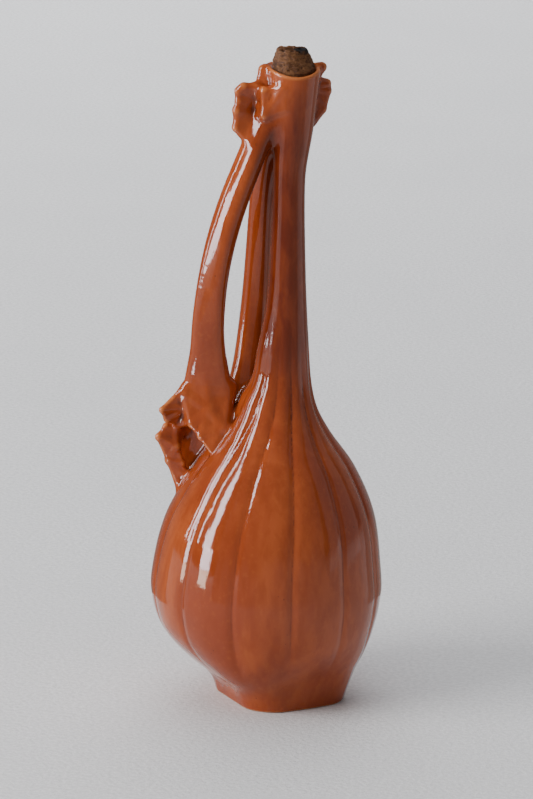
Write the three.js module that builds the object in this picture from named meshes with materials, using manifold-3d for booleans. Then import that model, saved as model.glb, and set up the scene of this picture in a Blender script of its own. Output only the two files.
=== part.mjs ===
// Glazed stoneware bottle with a fluted belly, a two-armed leaf handle and a tapered cork.
// Millimetres, +Z up. The origin is the middle of the foot's flat underside. The handle's
// root points towards -X, and two corners of the square foot lie on the X axis.
import * as THREE from 'three';
import { mergeVertices } from 'three/addons/utils/BufferGeometryUtils.js';
import Module from 'manifold-3d';

const wasm = await Module();
wasm.setup();

// ---- Body ---------------------------------------------------------------------------------

const BODY_SEGMENTS = 48;
const FOOT_HALF_SIDE = 27.6;
const FOOT_CORNER_RADIUS = 15.5;
const FOOT_HEIGHT = 11;
const FOOT_BASE_RADIUS = 30;
const FOOT_TOP_RADIUS = 33;
const SQUARE_FADE_END = 40;

// Mean outer radius and height, from the top of the foot to the lip.
const OUTER_OUTLINE = [
  [33, 11], [37.2, 14.5], [47, 26], [53.2, 37], [56.2, 49], [56.6, 62], [51.2, 92],
  [38.6, 117], [22.6, 137], [13.8, 154], [10.7, 185], [8.6, 225], [7.9, 262], [10, 290],
  [12.4, 313],
];
const OUTER_STEPS = 30;
const LIP_TOP = 315;
const LIP_MIDDLE_RADIUS = 11.3;

// Mean inner radius and height, from the mouth down to the floor.
const MOUTH_RADIUS = 10.1;
const SEAT_TOP = 313.5;
const SEAT_BOTTOM_RADIUS = 7.4;
const SEAT_MIDDLE = 303;
const SEAT_BOTTOM = 292;
const BORE_TOP = 289;
const BORE_RADIUS = 4.6;
const INNER_OUTLINE = [
  [4.6, 284], [4.6, 262], [5.4, 225], [6.8, 185], [9.6, 154], [16.8, 137], [33, 117],
  [45.5, 92], [51, 60], [48, 42], [37, 24], [22, 11], [16, 7.5],
];
const INNER_STEPS = 14;
const FLOOR_THICKNESS = 6.5;

// The belly's centre sags towards the handle between these heights.
const BELLY_SHIFT = 8.2;
const SHIFT_START = 8;
const SHIFT_END = 150;
const SHIFT_SKEW = 0.64;

// Flutes: grooves every 30 degrees, deepest round the belly.
const GROOVE_COUNT = 12;
const BELLY_GROOVE_DEPTH = 1.3;
const FOOT_GROOVE_DEPTH = 0.5;
const GROOVE_FULL_HEIGHT = 50;
const GROOVE_FADE_START = 110;
const GROOVE_FADE_END = 175;

// The mouth stands off the axis, away from the front leaf, and its lip rises into a lobe at
// each leaf.
const MOUTH_LEAN = 1.6;
const MOUTH_LEAN_ANGLE = THREE.MathUtils.degToRad(17);
const MOUTH_LEAN_START = 262;
const MOUTH_LEAN_END = 289;
const LIP_LOBE_RISE = 2.6;
const LIP_LOBE_ANGLE = THREE.MathUtils.degToRad(30);
const LIP_LOBE_START = 303;

// ---- Cork and gaps --------------------------------------------------------------------------

const JOINT_GAP = 0.35;
const CORK_CLEARANCE = 0.3;
const CORK_BOTTOM = 292.6;
const CORK_TOP = 326;
const CORK_HEAD_RADIUS = 10.3;
const CORK_EDGE = 1.2;
const CORK_SEGMENTS = 32;

// ---- Materials ------------------------------------------------------------------------------

const glaze = () => new THREE.MeshStandardMaterial({ color: 0xa5491f, roughness: 0.18, metalness: 0 });
const cork = () => new THREE.MeshStandardMaterial({ color: 0x6b4527, roughness: 0.95, metalness: 0 });

// ---- Solids ---------------------------------------------------------------------------------

// A closed manifold-3d solid from a three.js geometry, with triangles that lost their area
// when the vertices were merged left out.
function solidFrom(geometry) {
  const bare = geometry.clone();
  bare.deleteAttribute('normal');
  bare.deleteAttribute('uv');
  const merged = mergeVertices(bare, 1e-4);
  const index = merged.index.array;
  const kept = [];
  for (let i = 0; i < index.length; i += 3) {
    const [a, b, c] = [index[i], index[i + 1], index[i + 2]];
    if (a !== b && b !== c && c !== a) kept.push(a, b, c);
  }
  const mesh = new wasm.Mesh({
    numProp: 3,
    vertProperties: new Float32Array(merged.attributes.position.array),
    triVerts: new Uint32Array(kept),
  });
  return new wasm.Manifold(mesh);
}

// The largest piece of a solid that a cut may have left in several.
function largestPiece(solid) {
  const pieces = solid.decompose();
  return pieces.reduce((best, piece) => (piece.volume() > best.volume() ? piece : best));
}

function namedMesh(solid, name, material) {
  const mesh = solid.getMesh();
  const geometry = new THREE.BufferGeometry();
  geometry.setAttribute('position', new THREE.BufferAttribute(new Float32Array(mesh.vertProperties), 3));
  geometry.setIndex(new THREE.BufferAttribute(new Uint32Array(mesh.triVerts), 1));
  geometry.computeVertexNormals();
  const result = new THREE.Mesh(geometry, material);
  result.name = name;
  return result;
}

// ---- Body surface ---------------------------------------------------------------------------

const smooth = (x, low, high) => THREE.MathUtils.smoothstep(x, low, high);

// Distance from the middle of a rounded square to its edge, at an angle from one corner.
function roundedSquareRadius(angleFromCorner) {
  const quarter = Math.PI / 2;
  const turned = THREE.MathUtils.euclideanModulo(angleFromCorner + quarter / 2, quarter);
  const fromFace = Math.min(turned, quarter - turned);
  const arcCentre = FOOT_HALF_SIDE - FOOT_CORNER_RADIUS;
  if (FOOT_HALF_SIDE * Math.tan(fromFace) <= arcCentre) return FOOT_HALF_SIDE / Math.cos(fromFace);
  const along = arcCentre * (Math.cos(fromFace) + Math.sin(fromFace));
  return along + Math.sqrt(along ** 2 - 2 * arcCentre ** 2 + FOOT_CORNER_RADIUS ** 2);
}

function meanSquareRadius() {
  const samples = 360;
  let sum = 0;
  for (let i = 0; i < samples; i += 1) sum += roundedSquareRadius((i / samples) * 2 * Math.PI);
  return sum / samples;
}

const SQUARE_MEAN = meanSquareRadius();

function grooveDepth(height) {
  const belly = smooth(height, 0, GROOVE_FULL_HEIGHT);
  const fade = 1 - smooth(height, GROOVE_FADE_START, GROOVE_FADE_END);
  return BELLY_GROOVE_DEPTH * belly * fade + FOOT_GROOVE_DEPTH * (1 - belly);
}

function centreAt(height) {
  const t = THREE.MathUtils.clamp((height - SHIFT_START) / (SHIFT_END - SHIFT_START), 0, 1);
  const sag = BELLY_SHIFT * Math.sin(Math.PI * t ** SHIFT_SKEW);
  const lean = MOUTH_LEAN * smooth(height, MOUTH_LEAN_START, MOUTH_LEAN_END);
  return [lean * Math.cos(MOUTH_LEAN_ANGLE) - sag, lean * Math.sin(MOUTH_LEAN_ANGLE)];
}

const lipRise = (height, angle) =>
  LIP_LOBE_RISE * (0.5 + 0.5 * Math.cos(2 * (angle - LIP_LOBE_ANGLE))) * smooth(height, LIP_LOBE_START, LIP_TOP);

const seatRadius = (height) =>
  SEAT_BOTTOM_RADIUS + (MOUTH_RADIUS - SEAT_BOTTOM_RADIUS) * (height - SEAT_BOTTOM) / (SEAT_TOP - SEAT_BOTTOM);

function outerRadius(radius, height, angle) {
  const squareness = 1 - smooth(height, FOOT_HEIGHT - 2, SQUARE_FADE_END);
  const square = roundedSquareRadius(angle) / SQUARE_MEAN;
  const groove = (1 - Math.abs(Math.sin((GROOVE_COUNT / 2) * angle))) ** 2;
  return radius * (1 + squareness * (square - 1)) - grooveDepth(height) * groove;
}

function splinePoints(outline, steps) {
  const curve = new THREE.SplineCurve(outline.map(([radius, height]) => new THREE.Vector2(radius, height)));
  return curve.getPoints(steps).map((point) => [point.x, point.y]);
}

const OUTER_PROFILE = [
  [FOOT_BASE_RADIUS, 0],
  [(FOOT_BASE_RADIUS + FOOT_TOP_RADIUS) / 2, FOOT_HEIGHT / 2],
  ...splinePoints(OUTER_OUTLINE, OUTER_STEPS),
  [LIP_MIDDLE_RADIUS, LIP_TOP],
];

const INNER_PROFILE = [
  [MOUTH_RADIUS, SEAT_TOP],
  [seatRadius(SEAT_MIDDLE), SEAT_MIDDLE],
  [SEAT_BOTTOM_RADIUS, SEAT_BOTTOM],
  [BORE_RADIUS, BORE_TOP],
  ...splinePoints(INNER_OUTLINE, INNER_STEPS),
];

// Turns a profile that starts and ends on the axis, and sets every vertex by its row and angle.
function turned(profile, segments, place) {
  const points = profile.map(([radius, height]) => new THREE.Vector2(radius, height));
  const geometry = new THREE.LatheGeometry(points, segments);
  const position = geometry.attributes.position;
  for (let i = 0; i < position.count; i += 1) {
    const row = i % profile.length;
    const angle = (Math.floor(i / profile.length) / segments) * 2 * Math.PI;
    const [x, y, z] = place(row, angle);
    position.setXYZ(i, x, y, z);
  }
  return facingOut(geometry);
}

// Turns the triangles round if they face in.
function facingOut(geometry) {
  const solid = solidFrom(geometry);
  if (solid.volume() > 0) return solid;
  const index = geometry.index.array;
  for (let i = 0; i < index.length; i += 3) [index[i], index[i + 1]] = [index[i + 1], index[i]];
  return solidFrom(geometry);
}

function polar(radius, angle, height) {
  const [x, y] = centreAt(height);
  return [x + radius * Math.cos(angle), y + radius * Math.sin(angle), height];
}

function outerPoint([radius, height], angle, grow) {
  const base = outerRadius(radius, height, angle) + grow;
  const [x, y, z] = polar(radius === 0 ? 0 : base, angle, height);
  return [x, y, z + lipRise(height, angle)];
}

function bodyShell() {
  const outer = [[0, 0], ...OUTER_PROFILE];
  const inner = [...INNER_PROFILE, [0, FLOOR_THICKNESS]];
  const profile = [...outer, ...inner];
  return turned(profile, BODY_SEGMENTS, (row, angle) => {
    if (row < outer.length) return outerPoint(profile[row], angle, 0);
    return polar(profile[row][0], angle, profile[row][1]);
  });
}

// The body's outer form without its hollow, larger all round by the gap, for cutting neighbours.
function bodyCutter() {
  const profile = [[0, 0], ...OUTER_PROFILE, [0, LIP_TOP]];
  return turned(profile, BODY_SEGMENTS, (row, angle) => outerPoint(profile[row], angle, JOINT_GAP));
}

// ---- Handle -----------------------------------------------------------------------------------

// A limb is an oval bar along a smooth path. Each station gives the middle, the half width away
// from the bottle's axis, the half width sideways and the section's turn in degrees.
const FRONT_ARM = {
  sides: 14,
  steps: 22,
  stations: [
    { at: [-4, -3, 299], out: 4.5, side: 4.3, turn: 36 },
    { at: [-12, -5.8, 287], out: 6.6, side: 4.8, turn: 48 },
    { at: [-17.5, -8, 272], out: 7, side: 5.1, turn: 50 },
    { at: [-24.4, -11.2, 252], out: 7.2, side: 5.3, turn: 48 },
    { at: [-29.8, -13.3, 232], out: 7.3, side: 5.3, turn: 44 },
    { at: [-33.5, -14, 212], out: 7.3, side: 5.4, turn: 32 },
    { at: [-35.9, -13.1, 191.5], out: 7.9, side: 5.5, turn: 10 },
    { at: [-36.8, -10.9, 174], out: 9, side: 5.8, turn: 0 },
    { at: [-37.8, -8.4, 158], out: 12, side: 7, turn: 0 },
    { at: [-39, -7, 146], out: 13, side: 8.5, turn: 0 },
    { at: [-38, -6, 134], out: 12, side: 8.5, turn: 0 },
    { at: [-33, -5, 124], out: 11, side: 8, turn: 0 },
  ],
};

const REAR_ARM = {
  sides: 14,
  steps: 20,
  stations: [
    { at: [-2, 2, 300], out: 4.5, side: 4.5, turn: 0 },
    { at: [-8.5, 7, 284], out: 5.4, side: 5.2, turn: 0 },
    { at: [-14, 11.2, 267], out: 5.6, side: 5.8, turn: 0 },
    { at: [-18, 15.4, 247], out: 5.8, side: 6.4, turn: -30 },
    { at: [-21, 20.2, 222], out: 6.1, side: 6.7, turn: -50 },
    { at: [-23.2, 22.2, 198], out: 6.4, side: 6.9, turn: -58 },
    { at: [-24.7, 20.6, 174], out: 6.8, side: 7.2, turn: -58 },
    { at: [-28, 15, 156], out: 7.4, side: 7.8, turn: -30 },
    { at: [-35, 8, 143], out: 8, side: 8, turn: 0 },
    { at: [-38, 4, 134], out: 8, side: 8, turn: 0 },
  ],
};

// The root leaf lies over the shoulder: a bud that points out, a long tip that comes down to the
// belly, and a lobe on each side.
const ROOT_LEAVES = {
  root_leaf_bud: {
    sides: 12,
    steps: 8,
    stations: [
      { at: [-47, -6, 149], out: 5, side: 7, turn: 0 },
      { at: [-53.5, -12, 145.5], out: 4.6, side: 5.5, turn: 0 },
      { at: [-57.5, -18, 144.5], out: 2.2, side: 2.8, turn: 0 },
    ],
  },
  root_leaf_tip: {
    sides: 12,
    steps: 14,
    stations: [
      { at: [-46, -3, 139], out: 5, side: 7, turn: 0 },
      { at: [-55, -6.5, 133], out: 4.6, side: 6, turn: 0 },
      { at: [-59, -9.5, 126], out: 4, side: 5, turn: 0 },
      { at: [-56, -9.5, 115], out: 3.6, side: 4.4, turn: 0 },
      { at: [-51, -7.5, 103.5], out: 3.4, side: 4, turn: 0 },
    ],
  },
  root_leaf_front: {
    sides: 12,
    steps: 10,
    stations: [
      { at: [-40, -11, 148], out: 6, side: 4, turn: 0 },
      { at: [-37.5, -15, 139], out: 6, side: 3.6, turn: 0 },
      { at: [-34, -17.6, 132], out: 4.5, side: 3, turn: 0 },
      { at: [-31, -18.8, 126.5], out: 2.2, side: 2, turn: 0 },
    ],
  },
  root_leaf_back: {
    sides: 12,
    steps: 10,
    stations: [
      { at: [-41, 8, 146], out: 6, side: 4, turn: 0 },
      { at: [-39.5, 14.5, 137], out: 6, side: 4, turn: 0 },
      { at: [-35.5, 18.5, 129], out: 4.5, side: 3.5, turn: 0 },
      { at: [-31, 20.5, 123], out: 2.4, side: 2.2, turn: 0 },
    ],
  },
};

// Values between stations follow a smooth curve through them.
function stationSpline(stations, key) {
  const count = stations.length - 1;
  const curve = new THREE.SplineCurve(stations.map((station, i) => new THREE.Vector2(i / count, station[key])));
  return (t) => curve.getPoint(t).y;
}

function limb({ stations, sides, steps }, grow = 0) {
  const path = new THREE.CatmullRomCurve3(stations.map(({ at }) => new THREE.Vector3(...at)));
  const outAt = stationSpline(stations, 'out');
  const sideAt = stationSpline(stations, 'side');
  const turnAt = stationSpline(stations, 'turn');
  const geometry = new THREE.CylinderGeometry(1, 1, 1, sides, steps);
  const position = geometry.attributes.position;
  for (let i = 0; i < position.count; i += 1) {
    const t = 0.5 - position.getY(i);
    const centre = path.getPoint(t);
    const along = path.getTangent(t);
    const outward = new THREE.Vector3(centre.x, centre.y, 0).normalize();
    outward.addScaledVector(along, -outward.dot(along)).normalize();
    outward.applyAxisAngle(along, THREE.MathUtils.degToRad(turnAt(t)));
    const sideways = new THREE.Vector3().crossVectors(along, outward);
    centre.addScaledVector(outward, position.getX(i) * (outAt(t) + grow));
    centre.addScaledVector(sideways, position.getZ(i) * (sideAt(t) + grow));
    position.setXYZ(i, centre.x, centre.y, centre.z);
  }
  return facingOut(geometry);
}

// ---- Upper leaves -----------------------------------------------------------------------------

// A leaf is a thick plate that stands out from the collar. Its edge is given by distance from
// the bottle's axis and height, and is a smooth curve through these points.
const LEAF_THICKNESS = 5;
const LEAF_BEVEL = 1.2;
const LEAF_EDGE_STEPS = 48;
const UPPER_LEAVES = {
  upper_leaf_front: {
    angle: THREE.MathUtils.degToRad(-162),
    edge: [
      [9, 285], [20, 281.5], [26.6, 286], [25.4, 291.5], [26.6, 296], [25, 300.8],
      [26, 306], [23, 309.4], [17, 309.8], [15, 315], [9, 315.4],
    ],
  },
  upper_leaf_rear: {
    angle: THREE.MathUtils.degToRad(44),
    edge: [
      [8, 284], [11.5, 284.5], [16.2, 291], [20, 299], [21.8, 306], [18.8, 309.5],
      [17, 314.8], [10, 315],
    ],
  },
};

function upperLeaf({ angle, edge }) {
  const points = edge.map(([distance, height]) => new THREE.Vector2(distance, height));
  const outline = new THREE.SplineCurve([...points, points[0]]).getPoints(LEAF_EDGE_STEPS);
  const depth = LEAF_THICKNESS - 2 * LEAF_BEVEL;
  const geometry = new THREE.ExtrudeGeometry(new THREE.Shape(outline.slice(0, -1)), {
    depth,
    bevelThickness: LEAF_BEVEL,
    bevelSize: LEAF_BEVEL,
    bevelOffset: -LEAF_BEVEL,
    bevelSegments: 1,
  });
  geometry.translate(0, 0, -depth / 2);
  geometry.rotateX(Math.PI / 2);
  geometry.rotateZ(angle);
  return facingOut(geometry);
}

// ---- Cork ---------------------------------------------------------------------------------------

function corkStopper() {
  const shaft = (height) => seatRadius(height) - CORK_CLEARANCE;
  const profile = [
    [0, CORK_BOTTOM],
    [shaft(CORK_BOTTOM) - CORK_EDGE / 2, CORK_BOTTOM],
    [shaft(CORK_BOTTOM), CORK_BOTTOM + CORK_EDGE],
    [shaft(SEAT_MIDDLE), SEAT_MIDDLE],
    [shaft(SEAT_TOP), SEAT_TOP],
    [shaft(SEAT_TOP), LIP_TOP + LIP_LOBE_RISE],
    [CORK_HEAD_RADIUS, LIP_TOP + LIP_LOBE_RISE + CORK_EDGE],
    [CORK_HEAD_RADIUS, CORK_TOP - CORK_EDGE],
    [CORK_HEAD_RADIUS - CORK_EDGE, CORK_TOP],
    [0, CORK_TOP],
  ];
  return turned(profile, CORK_SEGMENTS, (row, angle) => polar(profile[row][0], angle, profile[row][1]));
}

// ---- Assembly -------------------------------------------------------------------------------------

const bottle = new THREE.Group();

function add(solid, name, material) {
  bottle.add(namedMesh(largestPiece(solid), name, material));
}

const bodyGrown = bodyCutter();
const frontArmGrown = limb(FRONT_ARM, JOINT_GAP);
const rearArmGrown = limb(REAR_ARM, JOINT_GAP);

add(bodyShell(), 'bottle_body', glaze());
add(limb(FRONT_ARM).subtract(bodyGrown), 'handle_arm_front', glaze());
add(limb(REAR_ARM).subtract(bodyGrown).subtract(frontArmGrown), 'handle_arm_rear', glaze());

// Each leaf is cut by the body, the arms and the leaves that were set before it.
let earlier = bodyGrown.add(frontArmGrown).add(rearArmGrown);
for (const [name, leaf] of Object.entries(ROOT_LEAVES)) {
  add(limb(leaf).subtract(earlier), name, glaze());
  earlier = earlier.add(limb(leaf, JOINT_GAP));
}
for (const [name, leaf] of Object.entries(UPPER_LEAVES)) {
  add(upperLeaf(leaf).subtract(earlier), name, glaze());
}
add(corkStopper(), 'cork_stopper', cork());

export default bottle;
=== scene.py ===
import math
from collections import Counter
from itertools import combinations, product

import bmesh
import bpy
import numpy as np
from mathutils import Matrix, Vector


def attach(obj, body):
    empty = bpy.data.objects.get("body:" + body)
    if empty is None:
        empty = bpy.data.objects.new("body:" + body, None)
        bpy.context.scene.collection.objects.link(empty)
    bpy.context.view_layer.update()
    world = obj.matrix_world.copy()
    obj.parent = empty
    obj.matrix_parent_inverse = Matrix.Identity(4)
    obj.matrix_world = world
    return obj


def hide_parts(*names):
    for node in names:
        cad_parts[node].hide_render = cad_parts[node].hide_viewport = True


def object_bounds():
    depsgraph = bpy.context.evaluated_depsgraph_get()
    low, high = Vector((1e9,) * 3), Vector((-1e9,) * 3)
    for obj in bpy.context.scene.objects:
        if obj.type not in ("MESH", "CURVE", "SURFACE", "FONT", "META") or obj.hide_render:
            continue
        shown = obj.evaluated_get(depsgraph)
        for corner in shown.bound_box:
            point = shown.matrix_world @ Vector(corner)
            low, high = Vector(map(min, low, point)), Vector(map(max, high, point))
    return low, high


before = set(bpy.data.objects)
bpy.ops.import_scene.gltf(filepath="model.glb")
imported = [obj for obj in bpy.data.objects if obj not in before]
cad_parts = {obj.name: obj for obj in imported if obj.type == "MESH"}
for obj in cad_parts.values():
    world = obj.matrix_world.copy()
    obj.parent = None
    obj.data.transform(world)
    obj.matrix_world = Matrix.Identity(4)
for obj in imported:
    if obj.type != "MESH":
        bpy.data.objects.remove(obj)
CAD_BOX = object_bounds()

# The bottle's ceramic is one fused form with smooth fillets where the arms and leaves were luted
# on. It is found as the zero level of a distance field built from the same dimensions as the CAD
# part, meshed once, and then split at the luting lines into closed pieces. The field works in
# millimetres in the row frame. Blender's objects are in metres.

MM = 0.001

# ---- Dimensions shared with the CAD part, millimetres ----

FOOT_HALF_SIDE = 27.6
FOOT_CORNER_RADIUS = 15.5
FOOT_HEIGHT = 11.0
FOOT_BASE_RADIUS = 30.0
FOOT_TOP_RADIUS = 33.0
SQUARE_FADE_END = 40.0

OUTER_OUTLINE = [
    (24, 4), (33, 11), (37.2, 14.5), (47, 26), (53.2, 37), (56.2, 49), (56.6, 62), (51.2, 92),
    (38.6, 117), (22.6, 137), (13.8, 154), (10.7, 185), (8.6, 225), (7.9, 262), (10, 290),
    (12.4, 313), (12.8, 325),
]
INNER_OUTLINE = [
    (8, 5.5), (16, 7.5), (22, 11), (37, 24), (48, 42), (51, 60), (45.5, 92), (33, 117),
    (16.8, 137), (9.6, 154), (6.8, 185), (5.4, 225), (4.6, 262), (4.6, 282),
]
LIP_TOP = 315.0
MOUTH_RADIUS = 10.1
SEAT_TOP = 313.5
SEAT_BOTTOM_RADIUS = 7.4
SEAT_BOTTOM = 292.0
SEAT_TAPER = (MOUTH_RADIUS - SEAT_BOTTOM_RADIUS) / (SEAT_TOP - SEAT_BOTTOM)
FLOOR_THICKNESS = 6.5

BELLY_SHIFT = 8.2
SHIFT_START = 8.0
SHIFT_END = 150.0
SHIFT_SKEW = 0.64
MOUTH_LEAN = 1.6
MOUTH_LEAN_ANGLE = math.radians(17)
MOUTH_LEAN_START = 262.0
MOUTH_LEAN_END = 289.0

# ---- Surface detail that only the visual model has ----

LIP_LOBE_RISE = 2.4
LIP_LOBE_ANGLE = math.radians(30)
SHOULDER_ANGLE = math.pi
SHOULDER_RISE = [
    (0, 105), (2, 122), (5, 135), (7.2, 145), (7.6, 153), (5.2, 159), (3.6, 166), (3.0, 176),
    (1.2, 190), (0, 205), (0, 230),
]

GROOVE_COUNT = 12
MEAN_WAVE = 0.64
GROOVE_DEPTH = 0.5
GROOVE_HALF_WIDTH = 2.0
LOBE_SWELL = 0.75
FLUTE_GROWTH = (8.0, 50.0)
FLUTE_FADE = (120.0, 205.0)
FOOT_FLUTE = 0.06

NECK_STREAK_ANGLE = math.radians(-58)
NECK_STREAK_WIDTH = 0.42
# Painted shade on the neck's side, where the handle arms shadow it.
NECK_ARM_SHADOW_ANGLE = math.radians(-112)
NECK_ARM_SHADOW_WIDTH = 0.8

EDGE_ROUND = 1.2
FOOT_EDGE_ROUND = 1.0
FOOT_BULGE = 1.6
FOOT_BULGE_ANGLE = math.radians(-42)
FOOT_BLEND = 5.0
FOOT_OVERLAP = 4.0
LIMB_BLEND = 5.0
SHEET_BLEND = 3.0

FINE_STEP = 1.0
BLOCK = 12
BLOCK_MARGIN = 1.5
GRID_MARGIN = 5.3
SLOPE_STEP = 0.15
LONGEST_MOVE = 0.8
RELAX_ROUNDS = 3
RELAX_KEEP = 0.45


def smoothstep(x, low, high):
    t = np.clip((x - low) / (high - low), 0.0, 1.0)
    return t * t * (3.0 - 2.0 * t)


def smooth_min(a, b, blend):
    overlap = np.maximum(blend - np.abs(a - b), 0.0)
    return np.minimum(a, b) - overlap * overlap / (4.0 * blend)


def smooth_max(a, b, blend):
    return -smooth_min(-a, -b, blend)


# ---- Tables along the height ----

TABLE_STEP = 0.25
HEIGHTS = np.arange(-30.0, 350.0, TABLE_STEP)


def blur(values, sigma):
    """Gaussian smoothing of a table along the height, sigma in millimetres."""
    reach = int(4 * sigma / TABLE_STEP)
    offsets = np.arange(-reach, reach + 1) * TABLE_STEP
    weights = np.exp(-0.5 * (offsets / sigma) ** 2)
    padded = np.concatenate([np.full(reach, values[0]), values, np.full(reach, values[-1])])
    return np.convolve(padded, weights / weights.sum(), mode="valid")


def catmull_rom(points, count):
    """Points along a uniform Catmull-Rom curve through the given points."""
    points = np.asarray(points, float)
    last = len(points) - 1
    place = np.linspace(0.0, last, count)
    segment = np.minimum(place.astype(int), last - 1)
    t = (place - segment)[:, None]
    before = points[np.maximum(segment - 1, 0)]
    start = points[segment]
    end = points[segment + 1]
    after = points[np.minimum(segment + 2, last)]
    slope_in = 0.5 * (end - before)
    slope_out = 0.5 * (after - start)
    return (
        (2 * start - 2 * end + slope_in + slope_out) * t**3
        + (-3 * start + 3 * end - 2 * slope_in - slope_out) * t**2
        + slope_in * t
        + start
    )


def radius_table(outline, sigma):
    curve = catmull_rom([(height, radius) for radius, height in outline], 2000)
    return blur(np.interp(HEIGHTS, curve[:, 0], curve[:, 1]), sigma)


def belly_shift_table():
    t = np.clip((HEIGHTS - SHIFT_START) / (SHIFT_END - SHIFT_START), 0.0, 1.0)
    return blur(-BELLY_SHIFT * np.sin(math.pi * t**SHIFT_SKEW), 4.0)


OUTER_TABLE = radius_table(OUTER_OUTLINE, 2.0)
INNER_TABLE = radius_table(INNER_OUTLINE, 3.0)
SHIFT_TABLE = belly_shift_table()
SHOULDER_TABLE = radius_table(SHOULDER_RISE, 2.0)
LEAN_TABLE = blur(MOUTH_LEAN * smoothstep(HEIGHTS, MOUTH_LEAN_START, MOUTH_LEAN_END), 3.0)
OUTER_STEEPNESS = np.sqrt(1.0 + np.gradient(OUTER_TABLE, TABLE_STEP) ** 2)
INNER_STEEPNESS = np.sqrt(1.0 + np.gradient(INNER_TABLE, TABLE_STEP) ** 2)


def at_height(table, z):
    return np.interp(z, HEIGHTS, table)


# ---- Body field ----


def rounded_square(angle):
    """Edge distance of the foot's rounded square, by the angle from one of its corners."""
    quarter = math.pi / 2
    turned = np.mod(angle + quarter / 2, quarter)
    from_face = np.minimum(turned, quarter - turned)
    arc_centre = FOOT_HALF_SIDE - FOOT_CORNER_RADIUS
    along = arc_centre * (np.cos(from_face) + np.sin(from_face))
    corner = along + np.sqrt(np.maximum(along**2 - 2 * arc_centre**2 + FOOT_CORNER_RADIUS**2, 0.0))
    face = FOOT_HALF_SIDE / np.cos(from_face)
    return np.where(FOOT_HALF_SIDE * np.tan(from_face) <= arc_centre, face, corner)


SQUARE_MEAN = float(rounded_square(np.linspace(0, 2 * math.pi, 720, endpoint=False)).mean())


def flute(angle, radius, z):
    """How far the surface stands in or out at an angle: swelling lobes with a narrow groove between."""
    wave = np.abs(np.sin(GROOVE_COUNT / 2 * angle))
    arc = np.arcsin(np.clip(wave, 0.0, 1.0)) / (GROOVE_COUNT / 2) * radius
    groove = np.exp(-((arc / GROOVE_HALF_WIDTH) ** 2))
    lobes = LOBE_SWELL * (wave - MEAN_WAVE)
    strength = FOOT_FLUTE + (1.0 - FOOT_FLUTE) * smoothstep(z, *FLUTE_GROWTH)
    strength = strength * (1.0 - smoothstep(z, *FLUTE_FADE))
    return strength * (lobes - GROOVE_DEPTH * groove)


def about_axis(x, y, z):
    """Distance and angle from the bottle's axis, which bends with the height."""
    lean = at_height(LEAN_TABLE, z)
    dx = x - at_height(SHIFT_TABLE, z) - lean * math.cos(MOUTH_LEAN_ANGLE)
    dy = y - lean * math.sin(MOUTH_LEAN_ANGLE)
    return np.hypot(dx, dy), np.arctan2(dy, dx)


def foot_field(x, y, z):
    """The square foot, which is a little fuller at one corner."""
    angle = np.arctan2(y, x)
    wall = FOOT_BASE_RADIUS + (FOOT_TOP_RADIUS - FOOT_BASE_RADIUS) * z / FOOT_HEIGHT
    from_bulge = angle - FOOT_BULGE_ANGLE
    bulge = FOOT_BULGE * np.maximum(np.cos(2 * from_bulge), 0.0) * (np.cos(from_bulge) > 0)
    edge = wall * rounded_square(angle) / SQUARE_MEAN + flute(angle, wall, z) + bulge
    return smooth_max(np.hypot(x, y) - edge, z - FOOT_HEIGHT - FOOT_OVERLAP, 2 * FOOT_BLEND)


def body_field(x, y, z):
    """The solid outside of the foot, belly, neck and lip."""
    radius, angle = about_axis(x, y, z)
    squareness = 1.0 - smoothstep(z, FOOT_HEIGHT - 2, SQUARE_FADE_END)
    square = 1.0 + squareness * (rounded_square(angle) / SQUARE_MEAN - 1.0)
    wall = at_height(OUTER_TABLE, z)
    wall = wall + at_height(SHOULDER_TABLE, z) * (0.5 + 0.5 * np.cos(angle - SHOULDER_ANGLE)) ** 2
    belly = (radius - wall * square - flute(angle, wall, z)) / at_height(OUTER_STEEPNESS, z)
    whole = smooth_min(belly, foot_field(x, y, z), FOOT_BLEND)
    whole = smooth_max(whole, -z, FOOT_EDGE_ROUND)
    lip = LIP_LOBE_RISE * (0.5 + 0.5 * np.cos(2 * (angle - LIP_LOBE_ANGLE)))
    return smooth_max(whole, z - LIP_TOP - lip, EDGE_ROUND)


def cavity_field(x, y, z):
    """The hollow inside, with the cork's tapered seat at its top."""
    radius, _ = about_axis(x, y, z)
    hollow = (radius - at_height(INNER_TABLE, z)) / at_height(INNER_STEEPNESS, z)
    hollow = smooth_max(hollow, FLOOR_THICKNESS - z, 4.0)
    seat = radius - SEAT_BOTTOM_RADIUS - SEAT_TAPER * (z - SEAT_BOTTOM)
    seat = smooth_max(seat, SEAT_BOTTOM - 2.0 - z, 2.0)
    return smooth_min(hollow, seat, 1.5)


# ---- Handle field ----

LIMB_SAMPLES = 72
LIMB_SMOOTHING = 6
LIMB_REACH = 14.0
NEAREST_BLOCK = 60000
FAR = 30.0
SQUARENESS = 2.8
SHEET_REACH = 9.0
FOLD_BLEND = 1.0


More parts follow.
